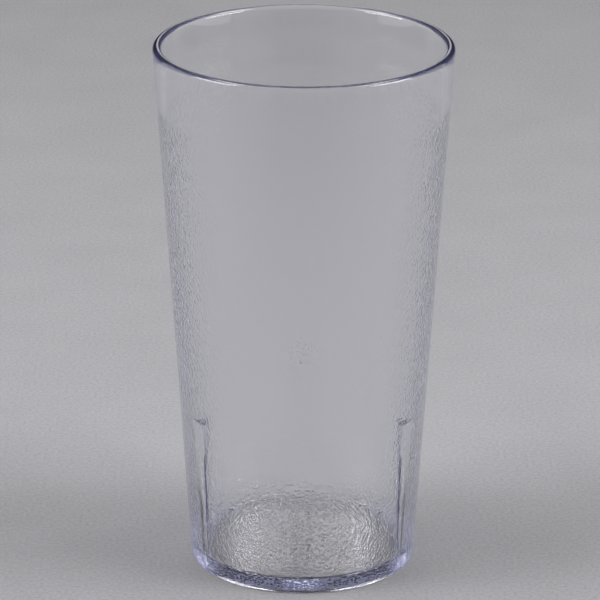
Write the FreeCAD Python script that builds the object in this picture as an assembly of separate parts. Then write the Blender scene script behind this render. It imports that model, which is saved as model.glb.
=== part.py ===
import FreeCAD, Part
import math
import os

# A restaurant tumbler moulded in one piece of clear plastic, in millimetres.
# It stands on its foot ring at z = 0, its axis is Z and its mouth opens upwards.

# Overall size
height = 161.0
rim_diameter = 88.9
foot_diameter = 68.0
wall = 2.65

# Drinking band: the smooth zone under the rim stands a trace proud of the grained wall below it
band_height = 17.9
band_relief = 0.04
band_step_rise = 0.8

# Floor and foot ring
floor_thickness = 3.6
floor_corner_bevel = 1.0
foot_bevel = 0.4
foot_ring_width = 3.2
ring_flare = 0.25
recess_depth = 0.3

# Mark of the injection gate, under the middle of the floor
gate_diameter = 1.6
gate_height = 0.2
gate_edge_run = 0.2

# Stacking ribs: upright ribs inside the wall, with level tops that the next cup's foot lands on.
# Their flat faces are square to X and Y, and every face leans a little as it goes down.
rib_height = 45.0
rib_depth = 3.2
rib_width = 5.0
rib_draft = 0.5
rib_edge_radius = 1.2
rib_root = 1.2
side_rib_angle = 28.0


def wall_slope():
    """Lean of the wall from upright, so that its outer line runs from the foot into the round rim."""
    rim_round = wall / 2
    across = (rim_diameter / 2 - rim_round) - (foot_diameter / 2 + band_relief)
    up = height - rim_round
    return math.atan2(across, up) + math.asin(rim_round / math.hypot(across, up))


slope = wall_slope()
floor_top = recess_depth + floor_thickness
rib_top = floor_top + rib_height


def grained_radius(z):
    """Outer radius of the grained wall at a height."""
    return foot_diameter / 2 + z * math.tan(slope)


def band_radius(z):
    """Outer radius of the smooth drinking band at a height."""
    return grained_radius(z) + band_relief


def inner_radius(z):
    """Inner radius of the wall at a height."""
    return band_radius(z) - wall / math.cos(slope)


def point(radius, z):
    """A point of the section, in the XZ plane."""
    return FreeCAD.Vector(radius, 0, z)


def lines(points):
    """Straight edges of the section through its points."""
    return [Part.LineSegment(start, end).toShape() for start, end in zip(points, points[1:])]


def arc_about(centre, radius, start_angle, end_angle):
    """Arc of the section about a centre, its angles counted from straight outwards."""
    angles = (start_angle, (start_angle + end_angle) / 2, end_angle)
    points = [centre + point(math.cos(angle), math.sin(angle)) * radius for angle in angles]
    return Part.Arc(*points).toShape()


def underside_and_outer_wall(rim_outside):
    """Points from the axis under the floor, over the foot ring and up the wall to the rim."""
    gate_face = recess_depth - gate_height
    ring_inner = foot_diameter / 2 - foot_ring_width
    recess_inner = ring_inner - ring_flare
    band_foot = height - band_height
    band_start = band_foot + band_step_rise
    return [
        point(0, gate_face),
        point(gate_diameter / 2, gate_face),
        point(gate_diameter / 2 + gate_edge_run, recess_depth),
        point(recess_inner, recess_depth),
        point(ring_inner, 0),
        point(foot_diameter / 2 - foot_bevel, 0),
        point(grained_radius(foot_bevel), foot_bevel),
        point(grained_radius(band_foot), band_foot),
        point(band_radius(band_start), band_start),
        rim_outside,
    ]


def cup_body():
    """The revolved cup: foot ring, grained wall, band, full-round rim, inner wall and floor."""
    rim_round = wall / 2
    rim_centre = point(rim_diameter / 2 - rim_round, height - rim_round)
    across_rim = point(math.cos(slope), -math.sin(slope)) * rim_round
    rim = [
        arc_about(rim_centre, rim_round, -slope, math.pi / 2),
        arc_about(rim_centre, rim_round, math.pi / 2, math.pi - slope),
    ]

    outside = lines(underside_and_outer_wall(rim_centre + across_rim))
    inside = lines([
        rim_centre - across_rim,
        point(inner_radius(floor_top + floor_corner_bevel), floor_top + floor_corner_bevel),
        point(inner_radius(floor_top) - floor_corner_bevel, floor_top),
        point(0, floor_top),
        point(0, recess_depth - gate_height),
    ])
    section = Part.Wire(outside + rim + inside)
    return Part.Face(section).revolve(FreeCAD.Vector(0, 0, 0), FreeCAD.Vector(0, 0, 1), 360)


def rib_block(face, low_side, high_side, reach):
    """Block whose face looks back along X, from inside the floor up to the level top of the ribs."""
    below_floor = floor_top - floor_thickness / 2
    spread = rib_draft * (rib_top - below_floor) / rib_height
    block = Part.makeWedge(
        face - spread, below_floor, -high_side - spread, -high_side, face,
        reach, rib_top, spread - low_side, -low_side, reach,
    )
    block.rotate(FreeCAD.Vector(0, 0, 0), FreeCAD.Vector(1, 0, 0), 90)
    face_edges = [
        edge for edge in block.Edges
        if edge.BoundBox.ZLength > rib_height / 2 and edge.BoundBox.XMax < (face + reach) / 2
    ]
    return block.makeFillet(rib_edge_radius, face_edges)


def stacking_ribs():
    """The two side ribs and the rear rib, cut back to lie inside the wall."""
    innermost = inner_radius(rib_top) - rib_depth
    reach = inner_radius(rib_top) + wall
    side_face = innermost * math.cos(math.radians(side_rib_angle))
    side_back = -innermost * math.sin(math.radians(side_rib_angle))
    right = rib_block(side_face, side_back - rib_width, side_back, reach)
    left = right.mirror(FreeCAD.Vector(0, 0, 0), FreeCAD.Vector(1, 0, 0))
    rear = rib_block(innermost, -rib_width / 2, rib_width / 2, reach)
    rear.rotate(FreeCAD.Vector(0, 0, 0), FreeCAD.Vector(0, 0, 1), 90)
    within_wall = Part.makeCone(inner_radius(0) + rib_root, inner_radius(height) + rib_root, height)
    return [rib.common(within_wall) for rib in (right, left, rear)]


def tumbler():
    """The cup with its ribs."""
    return cup_body().fuse(stacking_ribs())


os.makedirs("parts", exist_ok=True)
shape = tumbler()
shape.exportStep(os.path.join("parts", "tumbler.step"))
print("tumbler", len(shape.Solids), "solid,", round(shape.Volume / 1000, 2), "cm3, valid", shape.isValid())
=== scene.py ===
import math

import bmesh
import bpy
import numpy as np
from mathutils import Matrix, Vector


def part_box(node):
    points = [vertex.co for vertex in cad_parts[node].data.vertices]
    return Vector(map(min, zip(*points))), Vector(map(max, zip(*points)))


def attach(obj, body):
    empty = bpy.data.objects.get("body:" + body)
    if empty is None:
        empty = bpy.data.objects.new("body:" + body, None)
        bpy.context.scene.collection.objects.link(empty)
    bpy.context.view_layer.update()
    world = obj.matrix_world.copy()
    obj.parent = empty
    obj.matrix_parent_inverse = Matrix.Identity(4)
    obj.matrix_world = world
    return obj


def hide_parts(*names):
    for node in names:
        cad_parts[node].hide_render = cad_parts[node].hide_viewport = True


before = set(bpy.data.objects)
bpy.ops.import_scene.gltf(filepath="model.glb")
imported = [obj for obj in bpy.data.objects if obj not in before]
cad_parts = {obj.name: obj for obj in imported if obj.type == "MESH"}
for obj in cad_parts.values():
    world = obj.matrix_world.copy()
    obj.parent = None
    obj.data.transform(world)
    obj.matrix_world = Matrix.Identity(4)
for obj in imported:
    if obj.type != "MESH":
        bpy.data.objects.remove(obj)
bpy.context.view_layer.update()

# A clear plastic restaurant tumbler. One closed mesh takes the place of the CAD solid, with the
# same section and ribs in finer steps. The pebble grain outside is fine relief in the material.
NODE_LOW, NODE_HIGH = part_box("tumbler")
MM = 0.001

# Overall size, in metres. The height and the rim come from the frame.
HEIGHT = NODE_HIGH[2] - NODE_LOW[2]
RIM_RADIUS = NODE_HIGH[0]
FOOT_RADIUS = 34.0 * MM
WALL = 2.65 * MM

# Drinking band: the smooth zone under the rim
BAND_HEIGHT = 17.9 * MM
BAND_RELIEF = 0.04 * MM
BAND_STEP_RISE = 0.8 * MM

# Floor, foot ring and the mark of the injection gate
FLOOR_THICKNESS = 3.6 * MM
FLOOR_CORNER_RADIUS = 1.5 * MM
FOOT_EDGE_RADIUS = 0.4 * MM
FOOT_RING_WIDTH = 3.2 * MM
RING_FLARE = 0.25 * MM
RECESS_DEPTH = 0.3 * MM
GATE_RADIUS = 0.8 * MM
GATE_HEIGHT = 0.2 * MM
GATE_EDGE_RUN = 0.2 * MM
FLOOR_TOP = RECESS_DEPTH + FLOOR_THICKNESS

# Stacking ribs: two side ribs and a rear one, with level tops
RIB_HEIGHT = 45.0 * MM
RIB_DEPTH = 3.2 * MM
RIB_WIDTH = 5.0 * MM
RIB_DRAFT = 0.5 * MM
RIB_EDGE_RADIUS = 1.2 * MM
RIB_ROOT = 1.2 * MM
SIDE_RIB_ANGLE = math.radians(28)
RIB_TOP = FLOOR_TOP + RIB_HEIGHT

# Lean of the wall: its outer line is tangent to the round of the rim
RIM_ROUND = WALL / 2
ACROSS = RIM_RADIUS - RIM_ROUND - FOOT_RADIUS - BAND_RELIEF
UP = HEIGHT - RIM_ROUND
SLOPE = math.atan2(ACROSS, UP) + math.asin(RIM_ROUND / math.hypot(ACROSS, UP))

# Steps of the turned mesh: round the cup, and along each part of its section
COLUMNS = 240
FOOT_EDGE_STEPS = 5
GRAINED_WALL_STEPS = 60
BAND_STEPS = 6
RIM_STEPS = 24
INNER_WALL_STEPS = 40
CORNER_STEPS = 8
RIB_EDGE_STEPS = 5
SHARP_EDGE = math.radians(35)

# Pebble grain: how wide a pebble is, how far it stands out, and the share of that
# on the recessed underside
PEBBLE = 1.0 * MM
PEBBLE_RELIEF = 0.068 * MM
UNDERSIDE_GRAIN = 0.05

# Look of the clear plastic: its tint deepens with the thickness that the light crosses
PLASTIC_IOR = 1.57
PLASTIC_ROUGHNESS = 0.02
TINT = (0.48, 0.51, 0.75, 1.0)
TINT_DENSITY = 23.0

# Grey paper under the cup: its colour, and its fibres and clouds as (scale, detail, amount)
PAPER = (0.354, 0.357, 0.377, 1.0)
PAPER_ROUGHNESS = 0.9
PAPER_NOISES = ((900, 1.0, 0.1), (30, 2.0, 0.025))
FLOOR_HALF = 6.0
FLOOR_GAP = 0.02 * MM

# Camera, solved from the rim, the foot and the sides in the photo
PHOTO_WIDTH = 600
FOCAL_PIXELS = 3725.07
SENSOR_WIDTH = 36
CAMERA_SPOT = (0, -1.0506, 0.4649)
PITCH_DOWN = 0.3502
ROLL = 0.003
YAW = 0.00089

# Light
BOX_COLOUR = (1.0, 0.98, 0.975)
WORLD_COLOUR = (0.38, 0.375, 0.395, 1.0)
WORLD_STRENGTH = 0.1
BOUNCES = 48


def grained_radius(z):
    """Outer radius of the grained wall at a height."""
    return FOOT_RADIUS + z * math.tan(SLOPE)


def inner_radius(z):
    """Inner radius of the wall at a height."""
    return grained_radius(z) + BAND_RELIEF - WALL / math.cos(SLOPE)


def circle(radius, z):
    """Points of one row of the turned mesh."""
    turns = np.arange(COLUMNS) * 2 * math.pi / COLUMNS
    return np.column_stack([radius * np.cos(turns), radius * np.sin(turns), np.full(COLUMNS, z)])


def arc_points(centre_r, centre_z, radius, start, end, steps):
    """Radius and height of the points of an arc of the section, with both of its ends."""
    for step in range(steps + 1):
        turn = start + (end - start) * step / steps
        yield centre_r + radius * math.cos(turn), centre_z + radius * math.sin(turn)


def foot_rows():
    """Rows from the gate mark, over the foot ring, to the foot's outer edge."""
    ring_inner = FOOT_RADIUS - FOOT_RING_WIDTH
    recess_inner = ring_inner - RING_FLARE
    rows = [
        (GATE_RADIUS, RECESS_DEPTH - GATE_HEIGHT),
        (GATE_RADIUS + GATE_EDGE_RUN, RECESS_DEPTH),
        (recess_inner / 2, RECESS_DEPTH),
        (recess_inner, RECESS_DEPTH),
        (ring_inner, 0.0),
    ]
    rows += arc_points(
        FOOT_RADIUS - FOOT_EDGE_RADIUS, FOOT_EDGE_RADIUS, FOOT_EDGE_RADIUS,
        -math.pi / 2, -SLOPE, FOOT_EDGE_STEPS,
    )
    return rows


def grained_wall_rows(top):
    """Rows of the grained wall, from the foot's edge up to the foot of the band."""
    rows = []
    for step in range(1, GRAINED_WALL_STEPS + 1):
        z = FOOT_EDGE_RADIUS + (top - FOOT_EDGE_RADIUS) * step / GRAINED_WALL_STEPS
        rows.append((grained_radius(z), z))
    return rows


def band_and_rim_rows(band_start, rim_z):
    """Rows of the smooth band and of the full-round rim."""
    rows = []
    for step in range(BAND_STEPS):
        z = band_start + (rim_z - band_start) * step / BAND_STEPS
        rows.append((grained_radius(z) + BAND_RELIEF, z))
    rows += arc_points(RIM_RADIUS - RIM_ROUND, rim_z, RIM_ROUND, -SLOPE, math.pi - SLOPE, RIM_STEPS)
    return rows


def inside_rows(top):
    """Rows of the inner wall, the rounded floor corner and the floor."""
    corner_z = FLOOR_TOP + FLOOR_CORNER_RADIUS
    corner_r = inner_radius(corner_z) - FLOOR_CORNER_RADIUS / math.cos(SLOPE)
    end = corner_z - FLOOR_CORNER_RADIUS * math.sin(SLOPE)
    rows = []
    for step in range(1, INNER_WALL_STEPS):
        z = top + (end - top) * step / INNER_WALL_STEPS
        rows.append((inner_radius(z), z))
    rows += arc_points(
        corner_r, corner_z, FLOOR_CORNER_RADIUS, -SLOPE, -math.pi / 2, CORNER_STEPS)
    rows += [(corner_r * part, FLOOR_TOP) for part in (0.9, 0.5, 0.05)]
    return rows


def make_section():
    """Radius and height of every row, from the middle of the underside to that of the floor,
    and the grain of each."""
    band_foot = HEIGHT - BAND_HEIGHT
    rim_z = HEIGHT - RIM_ROUND
    foot = foot_rows()
    wall = grained_wall_rows(band_foot)
    rest = band_and_rim_rows(band_foot + BAND_STEP_RISE, rim_z)
    rest += inside_rows(rim_z + RIM_ROUND * math.sin(SLOPE))

    # The gate mark's two rows are smooth, the recess behind them has a trace of grain
    grain = [0.0, 0.0, UNDERSIDE_GRAIN, UNDERSIDE_GRAIN] + [0.0] * (len(foot) - 4)
    grain += [1.0] * (len(wall) - 1)
    grain += [0.0] * (len(rest) + 1)
    return foot + wall + rest, grain


def body_mesh():
    """The turned body, closed by a point at the middle of its underside and of its floor."""
    rows, grain = make_section()
    under_middle = [(0, 0, RECESS_DEPTH - GATE_HEIGHT)]
    floor_middle = [(0, 0, FLOOR_TOP)]
    vertices = np.vstack([under_middle] + [circle(r, z) for r, z in rows] + [floor_middle])
    last = len(vertices) - 1
    top = last - COLUMNS
    faces = []
    for i in range(COLUMNS):
        j = (i + 1) % COLUMNS
        faces.append((0, 1 + j, 1 + i))
        for a in range(1, top, COLUMNS):
            faces.append((a + i, a + j, a + COLUMNS + j, a + COLUMNS + i))
        faces.append((top + i, top + j, last))
    mesh = bpy.data.meshes.new("body")
    mesh.from_pydata(vertices.tolist(), [], faces)
    mask = mesh.attributes.new("grain", "FLOAT", "POINT")
    mask.data.foreach_set("value", [0.0] + np.repeat(grain, COLUMNS).tolist() + [0.0])
    return mesh


def core_mesh():
    """Cone that the ribs are cut back to, between the two faces of the wall."""
    low, high = FLOOR_TOP / 2, RIB_TOP + WALL
    vertices = np.vstack([circle(inner_radius(z) + RIB_ROOT, z) for z in (low, high)])
    faces = [tuple(range(COLUMNS))[::-1], tuple(range(COLUMNS, 2 * COLUMNS))]
    for i in range(COLUMNS):
        j = (i + 1) % COLUMNS
        faces.append((i, j, COLUMNS + j, COLUMNS + i))
    mesh = bpy.data.meshes.new("core")
    mesh.from_pydata(vertices.tolist(), [], faces)
    return mesh


def rib_mesh(face, low_side, high_side):
    """Block whose face looks back along X, with its two face edges rounded."""
    below_floor = FLOOR_TOP - FLOOR_THICKNESS / 2
    spread = RIB_DRAFT * (RIB_TOP - below_floor) / RIB_HEIGHT
    reach = inner_radius(RIB_TOP) + 2 * WALL
    vertices = []
    for lean, z in ((spread, below_floor), (0.0, RIB_TOP)):
        x, y_low, y_high = face - lean, low_side - lean, high_side + lean
        vertices += [(x, y_low, z), (reach, y_low, z), (reach, y_high, z), (x, y_high, z)]
    faces = [(3, 2, 1, 0), (4, 5, 6, 7), (0, 1, 5, 4), (1, 2, 6, 5), (2, 3, 7, 6), (3, 0, 4, 7)]
    mesh = bpy.data.meshes.new("rib")
    mesh.from_pydata(vertices, [], faces)
    shape = bmesh.new()
    shape.from_mesh(mesh)
    edges = [edge for edge in shape.edges if {v.index % 4 for v in edge.verts} in ({0}, {3})]
    bmesh.ops.bevel(
        shape, geom=edges, offset=RIB_EDGE_RADIUS, segments=RIB_EDGE_STEPS, profile=0.5,
        affect="EDGES",
    )
    shape.to_mesh(mesh)
    shape.free()
    return mesh


def place(name, data):
    """A new object of the scene."""
    piece = bpy.data.objects.new(name, data)
    bpy.context.scene.collection.objects.link(piece)
    return piece


def combine(piece, operation, other):
    """Boolean of a piece with another one."""
    step = piece.modifiers.new(operation, "BOOLEAN")
    step.operation = operation
    step.solver = "EXACT"
    step.object = other


def cup_mesh():
    """The turned body with its two side ribs and its rear rib, as one closed surface."""
    innermost = inner_radius(RIB_TOP) - RIB_DEPTH
    side_face = innermost * math.cos(SIDE_RIB_ANGLE)
    side_back = innermost * math.sin(SIDE_RIB_ANGLE)
    ribs = [
        (side_face, -side_back - RIB_WIDTH, -side_back, 0.0),
        (side_face, side_back, side_back + RIB_WIDTH, math.pi),
        (innermost, -RIB_WIDTH / 2, RIB_WIDTH / 2, math.pi / 2),
    ]
    body = place("body", body_mesh())
    core = place("core", core_mesh())
    helpers = [core, body]
    for face, low_side, high_side, turn in ribs:
        mesh = rib_mesh(face, low_side, high_side)
        mesh.transform(Matrix.Rotation(turn, 4, "Z"))
        rib = place("rib", mesh)
        combine(rib, "INTERSECT", core)
        combine(body, "UNION", rib)
        helpers.append(rib)
    ready = body.evaluated_get(bpy.context.evaluated_depsgraph_get())
    mesh = bpy.data.meshes.new_from_object(ready)
    mesh.name = "tumbler_body"
    for helper in helpers:
        bpy.data.objects.remove(helper)
    mesh.polygons.foreach_set("use_smooth", [True] * len(mesh.polygons))
    mesh.set_sharp_from_angle(angle=SHARP_EDGE)
    return mesh


def clear_plastic():
    """Clear tinted plastic, with domed pebbles where the mesh's grain value is above zero."""
    material = bpy.data.materials.new("clear_plastic")
    material.use_nodes = True
    nodes, links = material.node_tree.nodes, material.node_tree.links
    shader = nodes["Principled BSDF"]
    shader.inputs["Base Color"].default_value = (1.0, 1.0, 1.0, 1.0)
    shader.inputs["Transmission Weight"].default_value = 1.0
    shader.inputs["IOR"].default_value = PLASTIC_IOR
    shader.inputs["Roughness"].default_value = PLASTIC_ROUGHNESS
    volume = nodes.new("ShaderNodeVolumeAbsorption")
    volume.inputs["Color"].default_value = TINT
    volume.inputs["Density"].default_value = TINT_DENSITY
    links.new(volume.outputs["Volume"], nodes["Material Output"].inputs["Volume"])

    position = nodes.new("ShaderNodeTexCoord")
    cells = nodes.new("ShaderNodeTexVoronoi")
    cells.inputs["Scale"].default_value = 1 / PEBBLE
    links.new(position.outputs["Object"], cells.inputs["Vector"])
    dome = nodes.new("ShaderNodeMapRange")
    dome.interpolation_type = "SMOOTHSTEP"
    dome.inputs["From Min"].default_value = 0.0
    dome.inputs["From Max"].default_value = 0.7
    dome.inputs["To Min"].default_value = 1.0
    dome.inputs["To Max"].default_value = 0.0
    links.new(cells.outputs["Distance"], dome.inputs["Value"])
    mask = nodes.new("ShaderNodeAttribute")
    mask.attribute_name = "grain"
    height = nodes.new("ShaderNodeMath")
    height.operation = "MULTIPLY"
    links.new(dome.outputs["Result"], height.inputs[0])
    links.new(mask.outputs["Fac"], height.inputs[1])
    bump = nodes.new("ShaderNodeBump")
    bump.inputs["Strength"].default_value = 1.0
    bump.inputs["Distance"].default_value = PEBBLE_RELIEF
    links.new(height.outputs["Value"], bump.inputs["Height"])
    links.new(bump.outputs["Normal"], shader.inputs["Normal"])
    return material


def grey_paper():
    """Matt grey paper, its colour varied by fine fibres and faint clouds."""
    material = bpy.data.materials.new("grey_paper")
    material.use_nodes = True
    nodes, links = material.node_tree.nodes, material.node_tree.links
    shader = nodes["Principled BSDF"]
    shader.inputs["Roughness"].default_value = PAPER_ROUGHNESS
    position = nodes.new("ShaderNodeTexCoord")
    colour = nodes.new("ShaderNodeRGB").outputs["Color"]
    colour.default_value = PAPER
    for scale, detail, amount in PAPER_NOISES:
        noise = nodes.new("ShaderNodeTexNoise")
        noise.inputs["Scale"].default_value = scale
        noise.inputs["Detail"].default_value = detail
        links.new(position.outputs["Object"], noise.inputs["Vector"])
        level = nodes.new("ShaderNodeMapRange")
        level.inputs["From Min"].default_value = 0.3
        level.inputs["From Max"].default_value = 0.7
        level.inputs["To Min"].default_value = 1 - amount
        level.inputs["To Max"].default_value = 1 + amount
        links.new(noise.outputs["Fac"], level.inputs["Value"])
        shade = nodes.new("ShaderNodeVectorMath")
        shade.operation = "SCALE"
        links.new(colour, shade.inputs[0])
        links.new(level.outputs["Result"], shade.inputs["Scale"])
        colour = shade.outputs["Vector"]
    links.new(colour, shader.inputs["Base Color"])
    return material


def add_floor():
    """Wide paper floor, a hair under the foot ring."""
    corners = [(x * FLOOR_HALF, y * FLOOR_HALF, 0) for x, y in ((-1, -1), (1, -1), (1, 1), (-1, 1))]
    mesh = bpy.data.meshes.new("floor")
    mesh.from_pydata(corners, [], [(0, 1, 2, 3)])
    mesh.materials.append(grey_paper())
    floor = place("floor", mesh)
    floor.location.z = -FLOOR_GAP


def add_soft_box(name, spot, target, width, depth, power):
    """Area light that the camera doesn't see itself, turned towards its target."""
    light = bpy.data.lights.new(name, "AREA")
    light.shape = "RECTANGLE"
    light.size = width
    light.size_y = depth
    light.energy = power
    light.color = BOX_COLOUR
    lamp = place(name, light)
    lamp.location = spot
    lamp.rotation_euler = (Vector(target) - Vector(spot)).to_track_quat("-Z", "Y").to_euler()
    lamp.visible_camera = False


def add_lights():
    """Soft boxes on both sides in front, beside and above the cup, and two behind it."""
    for side in (-1, 1):
        add_soft_box("front_box", (side * 1.4, -0.45, 0.85), (0, 0, 0.05), 1.0, 0.45, 14.5)
        add_soft_box("side_box", (side * 0.6, 0.1, 0.3), (0, 0.1, 0.2), 0.8, 0.5, 1.5)
        add_soft_box("high_side_box", (side * 0.75, 0.05, 1.4), (0, 0, 0.1), 0.9, 0.3, 5.8)
    add_soft_box("back_box", (0, 1.3, 0.5), (0, 0, 0.05), 0.28, 0.4, 0.55)
    add_soft_box("back_top_box", (0, 1.2, 1.7), (0, 0.2, 0), 1.6, 0.8, 4.5)


def add_camera():
    """Camera at the photo's angle."""
    data = bpy.data.cameras.new("camera")
    data.sensor_width = SENSOR_WIDTH
    data.lens = FOCAL_PIXELS / PHOTO_WIDTH * SENSOR_WIDTH
    camera = place("camera", data)
    pitch = Matrix.Rotation(math.pi / 2 - PITCH_DOWN, 4, "X")
    turn = Matrix.Rotation(YAW, 4, "Z") @ pitch @ Matrix.Rotation(ROLL, 4, "Z")
    camera.matrix_world = Matrix.Translation(CAMERA_SPOT) @ turn
    bpy.context.scene.camera = camera


def set_world():
    """Faint even light from all round."""
    world = bpy.data.worlds.new("studio")
    bpy.context.scene.world = world
    world.use_nodes = True
    world.node_tree.nodes["Background"].inputs["Color"].default_value = WORLD_COLOUR
    world.node_tree.nodes["Background"].inputs["Strength"].default_value = WORLD_STRENGTH


cup = place("tumbler_body", cup_mesh())
cup.data.materials.append(clear_plastic())
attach(cup, "root")
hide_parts("tumbler")

add_floor()
set_world()
add_lights()
add_camera()
scene = bpy.context.scene
scene.cycles.max_bounces = BOUNCES
scene.cycles.transmission_bounces = BOUNCES
scene.cycles.glossy_bounces = BOUNCES
scene.view_settings.view_transform = "Standard"
